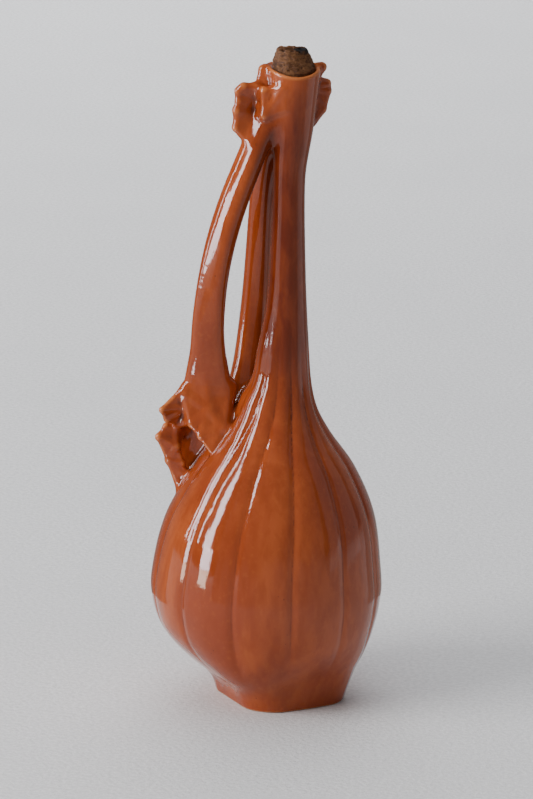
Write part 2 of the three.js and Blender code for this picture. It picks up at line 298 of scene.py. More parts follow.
class Limb:
    """A limb's middle line, direction, outward direction and half widths at evenly spread samples."""

    def __init__(self, stations):
        rows = catmull_rom(stations, LIMB_SAMPLES)
        for _ in range(LIMB_SMOOTHING):
            rows[1:-1] = 0.25 * rows[:-2] + 0.5 * rows[1:-1] + 0.25 * rows[2:]
        middle, widths = rows[:, :3], rows[:, 3:5]
        along = np.gradient(middle, axis=0)
        along = along / np.linalg.norm(along, axis=1, keepdims=True)
        outward = middle * np.array([1.0, 1.0, 0.0])
        outward -= along * np.sum(outward * along, axis=1, keepdims=True)
        outward /= np.linalg.norm(outward, axis=1, keepdims=True)
        turn = np.radians(rows[:, 5:6])
        outward = outward * np.cos(turn) + np.cross(along, outward) * np.sin(turn)
        self.rows = np.hstack([middle, along, outward, widths])
        self.spacing = np.linalg.norm(middle[1:] - middle[:-1], axis=1).mean()
        self.low = middle.min(0) - widths.max() - LIMB_REACH
        self.high = middle.max(0) + widths.max() + LIMB_REACH

    def nearest(self, points):
        """Index of the nearest sample to each point, in blocks that fit in memory."""
        middle = self.rows[:, :3]
        found = np.empty(len(points), int)
        for start in range(0, len(points), NEAREST_BLOCK):
            part = points[start:start + NEAREST_BLOCK]
            distance = np.sum(middle**2, axis=1) - 2.0 * part @ middle.T
            found[start:start + NEAREST_BLOCK] = np.argmin(distance, axis=1)
        return found

    def field(self, points):
        index = self.nearest(points)
        forward = np.sum((points - self.rows[index, :3]) * self.rows[index, 3:6], axis=1)
        place = np.clip(index + forward / self.spacing, 0.0, LIMB_SAMPLES - 1.0)
        lower = np.minimum(place.astype(int), LIMB_SAMPLES - 2)
        part = (place - lower)[:, None]
        rows = self.rows[lower] * (1.0 - part) + self.rows[lower + 1] * part
        offset = points - rows[:, :3]
        along, outward, out, side = rows[:, 3:6], rows[:, 6:9], rows[:, 9], rows[:, 10]
        across = np.abs(np.sum(offset * outward, axis=1)) / out
        aside = np.abs(np.sum(offset * np.cross(along, outward), axis=1)) / side
        over = np.abs(np.sum(offset * along, axis=1)) / np.minimum(out, side)
        section = (across**SQUARENESS + aside**SQUARENESS + 1e-12) ** (1.0 / SQUARENESS)
        scale = np.hypot(section, over) + 1e-9
        length = np.linalg.norm(offset, axis=1)
        return np.where(length > 1e-6, length * (1.0 - 1.0 / scale), -self.rows[:, 10].min())


def turned(row, angle):
    """A corner's row with its place turned about the z axis by an angle in degrees."""
    x, y, z, half_thickness = row
    cos = math.cos(math.radians(angle))
    sin = math.sin(math.radians(angle))
    return np.array([x * cos - y * sin, x * sin + y * cos, z, half_thickness])


def segment_field(points, start, end, radius_start, radius_end):
    """Distance to a round bar whose radius changes evenly from its start to its end."""
    along = end - start
    t = np.clip((points - start) @ along / (along @ along), 0.0, 1.0)
    offset = points - start - t[:, None] * along
    return np.linalg.norm(offset, axis=1) - radius_start - (radius_end - radius_start) * t


def triangle_field(points, corners, radii):
    """Distance to a flat triangle whose half thickness changes evenly between its corners."""
    a, b, c = corners
    normal = np.cross(b - a, c - a)
    double_area = np.linalg.norm(normal)
    normal = normal / double_area
    offset = points - a
    weight_b = np.cross(offset, c - a) @ normal / double_area
    weight_c = np.cross(b - a, offset) @ normal / double_area
    weight_a = 1.0 - weight_b - weight_c
    inside = (weight_a >= 0) & (weight_b >= 0) & (weight_c >= 0)
    face = np.abs(offset @ normal) - (weight_a * radii[0] + weight_b * radii[1] + weight_c * radii[2])
    edges = np.minimum.reduce([
        segment_field(points, corners[i], corners[j], radii[i], radii[j])
        for i, j in ((0, 1), (1, 2), (2, 0))
    ])
    return np.where(inside, np.minimum(face, edges), edges)


class Sheet:
    """A leaf's triangles in the row frame."""

    def __init__(self, corners, triangles, angle=0.0, fold=FOLD_BLEND):
        self.fold = fold
        rows = {name: turned(row, angle) for name, row in corners.items()}
        self.triangles = [np.array([rows[name] for name in names.split()]) for names in triangles]
        places = np.array(list(rows.values()))[:, :3]
        self.low = places.min(0) - SHEET_REACH
        self.high = places.max(0) + SHEET_REACH

    def field(self, points):
        result = np.full(len(points), FAR)
        for rows in self.triangles:
            result = smooth_min(result, triangle_field(points, rows[:, :3], rows[:, 3]), self.fold)
        return result


# A limb is an oval bar along a smooth path. Each station gives the middle, the half width away
# from the bottle's axis, the half width sideways and the section's turn in degrees.
LIMBS = {
    "handle_arm_front": Limb([
        (-4, -3, 297, 4.5, 4.0, 36), (-12.0, -5.8, 287, 6.6, 4.6, 48),
        (-17.5, -8.0, 272, 7.0, 5.0, 50), (-24.4, -11.2, 252, 7.2, 5.2, 48),
        (-29.8, -13.3, 232, 7.3, 5.2, 44), (-33.5, -14.0, 212, 7.3, 5.2, 32),
        (-35.9, -13.1, 191.5, 7.8, 5.2, 10), (-36.7, -10.9, 176, 8.6, 5.2, 0),
        (-37.3, -8.7, 163, 10.8, 5.2, 0), (-37.6, -8.2, 153, 12.0, 4.4, 0),
    ]),
    "handle_arm_rear": Limb([
        (-2, 2, 300, 4.5, 4.5, 0), (-8.5, 7, 284, 5.4, 5.2, 0), (-14, 11.2, 267, 5.6, 5.8, 0),
        (-18, 15.4, 247, 5.8, 6.4, -30), (-21, 20.2, 222, 6.2, 6.8, -50),
        (-23.0, 22.2, 198, 6.6, 7.0, -58), (-24.4, 20.6, 176, 7.0, 7.4, -58),
        (-24.8, 17, 163, 7.4, 8, -50), (-25, 12, 151, 8, 8.5, -30), (-24, 8, 141, 8, 8, 0),
    ]),
}

# A leaf is a curved sheet of clay: triangles between named corners. A corner gives its place and
# the sheet's half thickness there. A leaf with an angle is laid out along x and then turned by it.
# Its fold is how softly its triangles run into each other.
SHEETS = {
    "root_leaf_front": Sheet(
        fold=2.0,
        corners=dict(
            top=(-38, -8.5, 162, 4.6), left=(-46.6, -13.4, 153.6, 2.2), right=(-28.5, -4, 156, 4.4),
            middle=(-34.8, -12.4, 146, 2.6), inner=(-42.5, -15.7, 138.8, 1.8),
            edge=(-37.3, -17, 133.6, 1.6), point=(-31.8, -18.6, 127.6, 1.5),
            flank=(-27.3, -13, 138.2, 3.0),
        ),
        triangles=[
            "top left middle", "top middle right", "left inner middle", "inner edge middle",
            "edge point flank", "edge flank middle", "flank right middle",
        ],
    ),
    "root_leaf_bud": Sheet(
        fold=1.6,
        corners=dict(
            shoulder=(-47.7, -12.3, 155.7, 1.8), tip=(-56.9, -20.0, 145.7, 1.2),
            under=(-55.3, -16.9, 140.2, 1.3), valley=(-47.5, -11.8, 146.5, 2.2),
            fold=(-51.3, -9.4, 136.8, 2.0), inner=(-44.7, -12.4, 139.3, 2.2), back=(-50, 3, 138, 3.0),
        ),
        triangles=[
            "shoulder tip valley", "tip under valley", "under fold valley", "valley fold inner",
            "shoulder valley inner", "fold back inner",
        ],
    ),
    "root_leaf_tip": Sheet(
        fold=1.8,
        corners=dict(
            notch=(-57.8, -10.3, 134.8, 1.4), point=(-60.6, -13.3, 129.7, 1.3),
            side=(-55.9, -10.6, 117.7, 1.6), toe=(-50.6, -9.2, 103.9, 2.2),
            ridge=(-52.5, -10.2, 125.1, 1.5), bend=(-49.8, -9.4, 116.4, 1.4),
            knee=(-47.2, -8.4, 108.7, 1.6), deep=(-51.6, -2.2, 132.2, 2.0),
            hinge=(-53.8, -8.1, 132.6, 1.4),
        ),
        triangles=[
            "notch point hinge", "point ridge hinge", "point side ridge", "side bend ridge",
            "side knee bend", "side toe knee", "notch hinge deep", "hinge ridge deep",
        ],
    ),
    "root_leaf_back": Sheet(
        corners=dict(
            top=(-36, 6, 154, 4.5), left=(-52, 0, 138, 3.0), low=(-54.5, 0.6, 112, 2.4),
            toe=(-47, 0, 102, 2.6), belly=(-38, 2, 112, 3.0), crown=(-40, 3, 140, 4.5),
            side=(-40, 14, 136, 3.6), point=(-31, 21, 124, 1.6), flank=(-27, 14, 140, 3.0),
        ),
        triangles=[
            "left low crown", "low toe belly", "low belly crown", "top left crown", "top crown side",
            "crown belly side", "side point flank", "side flank top",
        ],
    ),
    "upper_leaf_front": Sheet(
        angle=-163,
        fold=2.4,
        corners=dict(
            collar=(12.4, 6.2, 307, 1.4), crease=(12.0, 6.0, 295, 1.4), stem=(14, 1.5, 283, 2.4),
            brim=(17, 2.2, 308.2, 1.7), a=(22.6, 2.6, 308, 1.7), b=(24.9, 2.2, 305.8, 1.7),
            c=(24.6, 1.8, 301, 1.8), d=(25.5, 2.2, 296.2, 1.7), e=(25.1, 1.6, 291.8, 1.8),
            f=(25.8, 2.0, 287.8, 1.8), g=(23, 1.6, 284.8, 1.8), h=(18, 2.4, 281, 2.2),
            bowl=(15.6, -2.8, 302, 2.2), dish=(16.4, -1.8, 291.5, 2.4), face_top=(3.4, 9.6, 309, 0.7),
            face_low=(2.4, 9.0, 299, 0.7),
        ),
        triangles=[
            "a b bowl", "b c bowl", "c d bowl", "d dish bowl", "d e dish", "e f dish", "f g dish",
            "g h dish", "h stem dish", "stem crease dish", "crease bowl dish", "crease collar bowl",
            "collar brim bowl", "brim a bowl", "collar crease face_top", "crease face_low face_top",
        ],
    ),
    "upper_leaf_rear": Sheet(
        angle=44,
        corners=dict(
            neck_top=(9, 2.4, 306, 2.2), neck_low=(8, 1.6, 286, 2.0), brow=(16.6, 2.6, 309.2, 2.0),
            cheek=(21.0, 3.0, 307.4, 2.0), jowl=(21.4, 3.0, 303.6, 2.0), side=(18.6, 2.6, 295, 2.0),
            foot=(12.8, 1.8, 288.4, 2.0),
        ),
        triangles=[
            "neck_top brow cheek", "neck_top cheek jowl", "neck_top jowl side", "neck_top side neck_low",
            "neck_low side foot",
        ],
    ),
    "lip_lobe_front": Sheet(
        angle=-168,
        fold=3.0,
        corners=dict(
            rim=(11.4, 0.5, 315.2, 1.4), peak=(13.2, 0, 315.8, 1.5), flare=(14.9, 0.6, 311.6, 1.5),
            under=(12.2, 2.0, 305, 1.8), back=(10.2, -6.5, 317.2, 1.3),
        ),
        triangles=["rim peak under", "peak flare under", "rim peak back"],
    ),
    "lip_lobe_rear": Sheet(
        angle=44,
        corners=dict(
            rim=(11.2, 0, 314.4, 1.6), knob=(16.4, -0.6, 316.4, 2.2), shelf=(13.4, 0, 316.6, 1.9),
            under=(11.6, -0.4, 308, 1.6),
        ),
        triangles=["rim knob under", "rim shelf knob"],
    ),
}


def near_field(shape, points):
    """A limb's or leaf's field, worked out only near it."""
    values = np.full(len(points), FAR)
    near = np.all((points > shape.low) & (points < shape.high), axis=1)
    if near.any():
        values[near] = shape.field(points[near])
    return values


def part_fields(points):
    """Distance to each part of the ceramic on its own."""
    fields = {"bottle_body": body_field(*points.T)}
    for name, shape in (*LIMBS.items(), *SHEETS.items()):
        fields[name] = near_field(shape, points)
    return fields


def ceramic_field(points):
    """Distance to the whole ceramic, below zero inside it."""
    fields = part_fields(points)
    outside = fields["bottle_body"]
    for name in LIMBS:
        outside = smooth_min(outside, fields[name], LIMB_BLEND)
    for name in SHEETS:
        outside = smooth_min(outside, fields[name], SHEET_BLEND)
    return smooth_max(outside, -cavity_field(*points.T), EDGE_ROUND)


# ---- Meshing ----

CORNERS = np.array(list(product((0, 1), repeat=3)))
CELL_EDGES = [(a, b) for a, b in combinations(range(8), 2) if np.abs(CORNERS[a] - CORNERS[b]).sum() == 1]
UNIT = np.eye(3, dtype=int)


def window(start, size):
    """The index of a block of a grid."""
    return tuple(slice(first, first + n) for first, n in zip(start, size))


def grid_values(low, shape, step):
    """The field on a grid, worked out only in the blocks that the surface may pass through."""
    values = np.empty(shape, np.float32)
    origins = np.array(list(product(*[range(0, n, BLOCK) for n in shape])))
    sizes = np.minimum(origins + BLOCK, shape) - origins
    middles = low + step * (origins + 0.5 * (sizes - 1))
    at_middle = ceramic_field(middles)
    reach = BLOCK_MARGIN * 0.5 * step * np.linalg.norm(sizes, axis=1) + 1.0
    for origin, size, value, limit in zip(origins, sizes, at_middle, reach):
        if abs(value) > limit:
            values[window(origin, size)] = value
            continue
        places = np.stack(np.meshgrid(*[np.arange(n) for n in size], indexing="ij"), axis=-1)
        points = low + step * (origin + places.reshape(-1, 3))
        values[window(origin, size)] = ceramic_field(points).reshape(size)
    return values


def surface_nets(values, low, step):
    """Vertices and quads of the zero level of a grid of values."""
    inside = values < 0
    shape = tuple(n - 1 for n in values.shape)
    count = sum(inside[window(c, shape)].astype(np.int8) for c in CORNERS)
    active = (count > 0) & (count < 8)
    cells = np.argwhere(active)
    number = np.full(shape, -1, np.int64)
    number[active] = np.arange(len(cells))
    samples = [values[window(c, shape)][active] for c in CORNERS]
    total = np.zeros((len(cells), 3))
    crossings = np.zeros(len(cells))
    for a, b in CELL_EDGES:
        start, end = samples[a], samples[b]
        crossed = (start < 0) != (end < 0)
        t = np.where(crossed, start / np.where(crossed, start - end, 1.0), 0.0)
        place = CORNERS[a] + t[:, None] * (CORNERS[b] - CORNERS[a])
        total += place * crossed[:, None]
        crossings += crossed
    vertices = low + step * (cells + total / crossings[:, None])
    return vertices, nets_quads(inside, number)


def nets_quads(inside, number):
    """A quad round each grid edge that the surface crosses, facing out."""
    quads = []
    for axis in range(3):
        first = [slice(1, -1)] * 3
        second = [slice(1, -1)] * 3
        first[axis] = slice(0, -1)
        second[axis] = slice(1, None)
        start = inside[tuple(first)]
        end = inside[tuple(second)]
        u, v = (axis + 1) % 3, (axis + 2) % 3
        for found, flip in ((start & ~end, False), (~start & end, True)):
            place = np.argwhere(found)
            cells = (place, place + UNIT[u], place + UNIT[u] + UNIT[v], place + UNIT[v])
            quad = np.stack([number[tuple(cell.T)] for cell in cells], axis=1)
            quads.append(quad[:, ::-1] if flip else quad)
    return np.concatenate(quads)


def field_slope(points):
    shifts = SLOPE_STEP * UNIT
    rises = [ceramic_field(points + shift) - ceramic_field(points - shift) for shift in shifts]
    return np.stack(rises, axis=1) / (2 * SLOPE_STEP)


def onto_surface(points):
    """Points moved along the field's slope to its zero level, by LONGEST_MOVE at most."""
    slope = field_slope(points)
    square = np.maximum(np.sum(slope**2, axis=1), 0.05)
    move = -ceramic_field(points)[:, None] * slope / square[:, None]
    length = np.linalg.norm(move, axis=1, keepdims=True)
    return points + move * np.minimum(1.0, LONGEST_MOVE / np.maximum(length, 1e-9))


def neighbour_mean(points, quads):
    start = np.concatenate([quads, quads]).ravel()
    end = np.concatenate([np.roll(quads, 1, axis=1), np.roll(quads, -1, axis=1)]).ravel()
    totals = [np.bincount(start, points[end, axis], len(points)) for axis in range(3)]
    return np.stack(totals, axis=1) / np.bincount(start, minlength=len(points))[:, None]


def ceramic_mesh():
    """The whole skin's vertices and quads, evened out along the surface."""
    step = FINE_STEP
    low = np.array([v / MM for v in CAD_BOX[0]]) - GRID_MARGIN
    high = np.array([v / MM for v in CAD_BOX[1]]) + GRID_MARGIN
    shape = tuple(int(n) for n in np.ceil((high - low) / step))
    points, quads = surface_nets(grid_values(low, shape, step), low, step)
    points = onto_surface(points)
    for _ in range(RELAX_ROUNDS):
        points = RELAX_KEEP * points + (1.0 - RELAX_KEEP) * neighbour_mean(points, quads)
        points = onto_surface(points)
    return onto_surface(points), quads


def curvature(points, reach=1.1):
    """The field's Laplacian: above zero on edges, below zero in hollows, about two over the radius."""
    total = -6.0 * ceramic_field(points)
    for shift in reach * UNIT:
        total += ceramic_field(points + shift) + ceramic_field(points - shift)
    return total / reach**2


def facing(angle, middle, width):
    """1 at the middle angle, falling off to either side over the width."""
    turn = np.mod(angle - middle + math.pi, 2 * math.pi) - math.pi
    return np.exp(-((turn / width) ** 2))


def thick_glaze_and_arm_shade(points):
    """0 to 1 where the neck is darkened, most of all in two bands down it: a streak of thicker, darker
    glaze at its front, and painted shade where the handle arms shadow its side.
    """
    x, y, z = points.T
    neck = smoothstep(z, 132.0, 190.0) * (1.0 - smoothstep(z, 275.0, 312.0))
    collar = smoothstep(z, 268.0, 292.0) * (1.0 - smoothstep(z, 306.0, 313.0))
    on_neck = 1.0 - smoothstep(np.hypot(x, y), 14.0, 24.0)
    angle = np.arctan2(y, x)
    front = facing(angle, NECK_STREAK_ANGLE, NECK_STREAK_WIDTH)
    # Painted shade from the handle arms on this side of the neck.
    left = facing(angle, NECK_ARM_SHADOW_ANGLE, NECK_ARM_SHADOW_WIDTH)
    thick_and_shade = neck * (0.50 + 0.25 * front + 0.50 * left) + 0.35 * collar * front
    return np.clip(on_neck * thick_and_shade, 0.0, 1.0)


def bare_clay(points):
    """1 where the foot's underside was wiped clean of glaze."""
    return 1.0 - smoothstep(points[:, 2], 0.15, 0.7)


# ---- Splitting the skin ----

# Each piece of the skin with the parts of the field that it gathers.
PIECES = {
    "glazed_body": ["bottle_body", "lip_lobe_front", "lip_lobe_rear"],
    "glazed_arm_front": ["handle_arm_front"],
    "glazed_arm_rear": ["handle_arm_rear"],
    "glazed_root_leaves": ["root_leaf_front", "root_leaf_bud", "root_leaf_tip", "root_leaf_back"],
    "glazed_upper_leaf_front": ["upper_leaf_front"],
    "glazed_upper_leaf_rear": ["upper_leaf_rear"],
}
CAVITY_NEAR = 0.6
OWNER_SMOOTHING = 6


def face_owners(points, quads):
    """The number of the piece each face belongs to: the one whose own surface is nearest."""
    middles = points[quads].mean(axis=1)
    fields = part_fields(middles)
    near = np.stack([np.minimum.reduce([fields[part] for part in parts]) for parts in PIECES.values()])
    owner = np.argmin(near, axis=0)
    owner[cavity_field(*middles.T) < CAVITY_NEAR] = 0
    return owner


def faces_across_edges(quads):
    """For each face, the faces on the other side of its four edges."""
    ends = np.sort(np.stack([quads, np.roll(quads, -1, axis=1)], axis=2), axis=2)
    key = (ends[..., 0] * (quads.max() + 1) + ends[..., 1]).ravel()
    pairs = np.argsort(key, kind="stable").reshape(-1, 2)
    other = np.empty(len(key), int)
    other[pairs[:, 0]] = pairs[:, 1]
    other[pairs[:, 1]] = pairs[:, 0]
    return (other // 4).reshape(-1, 4)


def smooth_owners(owner, across):
    """Evens out the luting lines: a face goes with three or more of its neighbours."""
    for _ in range(OWNER_SMOOTHING):
        near = np.sort(owner[across], axis=1)
        most = near[:, 1]
        agree = np.sum(near == most[:, None], axis=1)
        owner = np.where(agree >= 3, most, owner)
    return owner


def patches(owner, across):
    """A label for each face that is the same all over each connected patch of one owner."""
    label = np.arange(len(owner))
    while True:
        near = np.where(owner[across] == owner[:, None], label[across], label[:, None])
        lowest = np.minimum(label, near.min(axis=1))
        lowest = lowest[lowest]
        if np.array_equal(lowest, label):
            return label
        label = lowest


def join_islands(owner, across):
    """Gives patches that are cut off from their piece's main patch to the pieces round them."""
    label = patches(owner, across)
    adrift = np.ones(len(owner), bool)
    for piece in range(len(PIECES)):
        mine = owner == piece
        main = np.bincount(label[mine]).argmax()
        adrift[mine & (label == main)] = False
    owner = owner.copy()
    while adrift.any():
        for side in range(4):
            near = across[:, side]
            taken = adrift & ~adrift[near]
            owner[taken] = owner[near[taken]]
            adrift[taken] = False
    return owner


def boundary_rings(faces):
    """Rings of edges that only one of the faces uses, in the direction that face goes round."""
    uses = Counter(zip(faces.ravel().tolist(), np.roll(faces, -1, axis=1).ravel().tolist()))
    following = {}
    for (start, end), times in sorted(uses.items()):
        for _ in range(times - uses[end, start]):
            following.setdefault(start, []).append(end)
    rings = []
    while following:
        first = min(following)
        ring = []
        here = first
        while not ring or here != first:
            ring.append(here)
            onward = following[here].pop()
            if not following[here]:
                del following[here]
            here = onward
        rings.append(ring)
    return rings


def closed_piece(points, faces):
    """Vertex numbers, added middles and faces of one piece, its open rings closed with fans."""
    used = np.unique(faces)
    number = np.full(len(points), -1)
    number[used] = np.arange(len(used))
    polygons = [tuple(face) for face in number[faces]]
    middles = []
    for ring in boundary_rings(faces):
        middle = len(used) + len(middles)
        middles.append(points[ring].mean(axis=0))
        for start, end in zip(ring, ring[1:] + ring[:1]):
            polygons.append((number[end], number[start], middle))
    return used, np.array(middles).reshape(-1, 3), polygons


# ---- Blender objects ----


def mesh_object(name, vertices, faces):
    mesh = bpy.data.meshes.new(name)
    mesh.from_pydata([tuple(v) for v in vertices], [], [tuple(f) for f in faces])
    mesh.validate()
    obj = bpy.data.objects.new(name, mesh)
    bpy.context.scene.collection.objects.link(obj)
    return obj


def shade_smooth(obj):
    obj.data.polygons.foreach_set("use_smooth", [True] * len(obj.data.polygons))


def float_attribute(obj, name, values):
    attribute = obj.data.attributes.new(name, "FLOAT", "POINT")
    attribute.data.foreach_set("value", np.asarray(values, np.float32))


# ---- Camera, light and floor ----

CAMERA_AZIMUTH = math.radians(17)
CAMERA_DISTANCE = 2.398
CAMERA_HEIGHT = 0.826
CAMERA_AIM_HEIGHT = 0.1512
CAMERA_AIM_SIDE = -0.00915
CAMERA_ROLL = math.radians(0.954)
CAMERA_LENS = 229.1
LIGHT_AIM_HEIGHT = 0.15
WARM_WHITE = (1.0, 0.98, 0.96)
SKY_WHITE = (0.97, 0.98, 1.0)
WINDOW_WHITE = (0.93, 0.92, 1.0)


def polar_direction(azimuth, elevation):
    """Unit vector at an azimuth from the camera's side of the bottle and an elevation, degrees."""
    a = math.radians(azimuth) + CAMERA_AZIMUTH
    e = math.radians(elevation)
    return Vector((math.sin(a) * math.cos(e), -math.cos(a) * math.cos(e), math.sin(e)))


def make_camera():
    data = bpy.data.cameras.new("camera")
    data.lens = CAMERA_LENS
    data.sensor_width = 36.0
    data.clip_end = 50.0
    camera = bpy.data.objects.new("camera", data)
    place = polar_direction(0.0, 0.0) * CAMERA_DISTANCE + Vector((0.0, 0.0, CAMERA_HEIGHT))
    aim = polar_direction(90.0, 0.0) * CAMERA_AIM_SIDE + Vector((0.0, 0.0, CAMERA_AIM_HEIGHT))
    turn = (aim - place).to_track_quat("-Z", "Y").to_matrix().to_4x4()
    camera.matrix_world = Matrix.Translation(place) @ turn @ Matrix.Rotation(CAMERA_ROLL, 4, "Z")
    bpy.context.scene.collection.objects.link(camera)
    bpy.context.scene.camera = camera


def light_object(name, size, power, colour):
    data = bpy.data.lights.new(name, "AREA")
    data.shape = "RECTANGLE"
    data.size, data.size_y = size
    data.energy = power
    data.color = colour
    light = bpy.data.objects.new(name, data)
    light.rotation_mode = "QUATERNION"
    light.visible_camera = False
    bpy.context.scene.collection.objects.link(light)
    return light


def soft_light(name, azimuth, elevation, distance, side, power, colour):
    """A large diffuser that faces the bottle. It lights surfaces and doesn't show in the glaze."""
    light = light_object(name, (side, side), power, colour)
    away = polar_direction(azimuth, elevation)
    light.location = away * distance + Vector((0.0, 0.0, LIGHT_AIM_HEIGHT))
    light.rotation_quaternion = away.to_track_quat("Z", "Y")
    light.visible_glossy = False


def floor_light(name, azimuth, distance, height, side, power, colour):
    """A soft panel that faces straight down and brightens one part of the floor."""
    light = light_object(name, (side, side), power, colour)
    light.location = polar_direction(azimuth, 0.0) * distance + Vector((0.0, 0.0, height))
    light.visible_glossy = False


def window_card(name, azimuth, width, distance, low, high, radiance, colour):
    """An upright bright card that shows only as a reflection in the glaze."""
    size = (2 * distance * math.tan(math.radians(width / 2)), high - low)
    light = light_object(name, size, math.pi * size[0] * size[1] * radiance, colour)
    away = polar_direction(azimuth, 0.0)
    light.location = away * distance + Vector((0.0, 0.0, (low + high) / 2))
    light.rotation_quaternion = away.to_track_quat("Z", "Y")
    light.visible_diffuse = False


def make_lights():
    soft_light("key_left", -66, 24, 2.6, 1.6, 76, WARM_WHITE)
    soft_light("sky_top", -90, 78, 2.0, 2.2, 17, SKY_WHITE)
    soft_light("back_wash", 178, 47, 2.7, 2.0, 28, SKY_WHITE)
    soft_light("fill_front", 0, 22, 2.6, 1.4, 5, WARM_WHITE)
    floor_light("far_floor", -166, 2.8, 1.2, 2.6, 42, SKY_WHITE)
    window_card("window_wide", -71.6, 12.6, 0.6, 0.155, 0.75, 28, WINDOW_WHITE)
    window_card("window_narrow", -90, 4, 0.6, 0.155, 0.75, 26, WINDOW_WHITE)
    window_card("window_low", -59.5, 14, 0.15, 0.0765, 0.101, 28, WINDOW_WHITE)
    window_card("window_sill", -59.5, 14, 0.15, 0.060, 0.076, 19, (1.0, 0.82, 0.66))
    window_card("pale_wall", 88, 40, 0.6, 0.0, 0.9, 0.4, (0.95, 0.96, 1.0))


def make_flag(name, from_angle, to_angle, distance, height, low_glow, high_glow):
    """A curved glowing screen round part of the bottle: a painted reflection of the dim room, seen only in
    its glaze.
    """
    steps = 12
    corners = []
    for i in range(steps + 1):
        place = polar_direction(from_angle + (to_angle - from_angle) * i / steps, 0.0) * distance
        corners += [(place.x, place.y, 0.0), (place.x, place.y, height)]
    faces = [(2 * i, 2 * i + 2, 2 * i + 3, 2 * i + 1) for i in range(steps)]
    flag = mesh_object(name, corners, faces)
    flag.data.materials.append(room_reflection_glow_material(name, low_glow, high_glow))
    flag.visible_camera = False
    flag.visible_diffuse = False
    flag.visible_shadow = False


def make_world():
    world = bpy.data.worlds.new("world")
    world.use_nodes = True
    background = world.node_tree.nodes["Background"]
    background.inputs["Color"].default_value = (0.86, 0.88, 0.92, 1.0)
    background.inputs["Strength"].default_value = 0.18
    bpy.context.scene.world = world


def make_floor():
    half = 6.0
    corners = [(-half, -half, 0), (half, -half, 0), (half, half, 0), (-half, half, 0)]
    floor = mesh_object("floor", corners, [(0, 1, 2, 3)])
    floor.data.materials.append(plaster_material())


# ---- Materials ----

GLAZE_DEEP = (0.262, 0.044, 0.011)
GLAZE_WARM = (0.366, 0.073, 0.017)
GLAZE_STREAK = (0.23, 0.036, 0.006)
GLAZE_MOTTLE = (0.42, 0.10, 0.022)
# The next three darken and lighten the glaze by place: thicker glaze on the neck with painted shade from
# the handle arms, pooled glaze in hollows with painted shade, and glaze broken thin on edges with a
# painted highlight.
GLAZE_THICK_AND_SHADE = (0.105, 0.013, 0.003)
GLAZE_POOLED_AND_SHADED = (0.075, 0.011, 0.004)
GLAZE_BROKEN_AND_HIGHLIT = (0.60, 0.185, 0.050)
GLAZE_SPECK = (0.09, 0.02, 0.008)
CLAY_DARK = (0.36, 0.17, 0.08)
CLAY_PALE = (0.50, 0.27, 0.14)
CORK_BROWN = (0.062, 0.023, 0.009)
CORK_TAN = (0.175, 0.076, 0.030)
CORK_PALE = (0.26, 0.13, 0.06)
CORK_HOLLOW = (0.022, 0.008, 0.004)
CORK_BURNT = (0.008, 0.007, 0.007)
PLASTER_GREY = (0.70, 0.70, 0.71)
PLASTER_WHITE = (0.86, 0.86, 0.87)
PLASTER_STAIN = (0.70, 0.70, 0.72)


class Nodes:
    """Short ways to add and join shader nodes in one material."""

    def __init__(self, tree):
        self.tree = tree

    def fill(self, node, inputs):
        """Sets each named input of a node to a value or to another node's output."""
        for name, value in inputs.items():
            socket = node.inputs[name]
            if isinstance(value, bpy.types.NodeSocket):
                self.tree.links.new(value, socket)
            else:
                socket.default_value = (*value, 1.0) if socket.type == "RGBA" else value

    def surface(self, inputs):
        self.fill(self.tree.nodes["Principled BSDF"], inputs)

    def add(self, kind, inputs, **settings):
        node = self.tree.nodes.new(kind)
        for name, value in settings.items():
            setattr(node, name, value)
        self.fill(node, inputs)
        return node

    def attribute(self, name):
        return self.add("ShaderNodeAttribute", {}, attribute_name=name).outputs["Fac"]

    def place(self, scale=(1.0, 1.0, 1.0)):
        """Object coordinates, stretched by a scale along each axis."""
        place = self.add("ShaderNodeTexCoord", {}).outputs["Object"]
        return self.add("ShaderNodeMapping", {"Vector": place, "Scale": scale}).outputs["Vector"]

    def noise(self, place, scale, detail, roughness=0.5, distortion=0.0):
        inputs = {"Scale": scale, "Detail": detail, "Roughness": roughness, "Distortion": distortion}
        return self.add("ShaderNodeTexNoise", {"Vector": place, **inputs}).outputs["Fac"]

    def voronoi(self, place, scale):
        return self.add("ShaderNodeTexVoronoi", {"Vector": place, "Scale": scale}).outputs["Distance"]

    def remap(self, value, low, high, to_low, to_high):
        inputs = {"Value": value, "From Min": low, "From Max": high, "To Min": to_low, "To Max": to_high}
        return self.add("ShaderNodeMapRange", inputs, interpolation_type="SMOOTHSTEP").outputs["Result"]

    def math(self, operation, first, second):
        return self.add("ShaderNodeMath", {0: first, 1: second}, operation=operation).outputs["Value"]

    def mix(self, factor, first, second):
        return self.add("ShaderNodeMix", {0: factor, 6: first, 7: second}, data_type="RGBA").outputs[2]

    def tint(self, colour, second, value, low, high, amount=1.0):
        """A colour that goes over to a second one as a value goes from low to high."""
        return self.mix(self.remap(value, low, high, 0.0, amount), colour, second)

    def bump(self, height, distance, strength, before=None):
        inputs = {"Height": height, "Distance": distance, "Strength": strength}
        if before is not None:
            inputs["Normal"] = before
        return self.add("ShaderNodeBump", inputs).outputs["Normal"]


def new_material(name):
    material = bpy.data.materials.new(name)
    material.use_nodes = True
    return material, Nodes(material.node_tree)


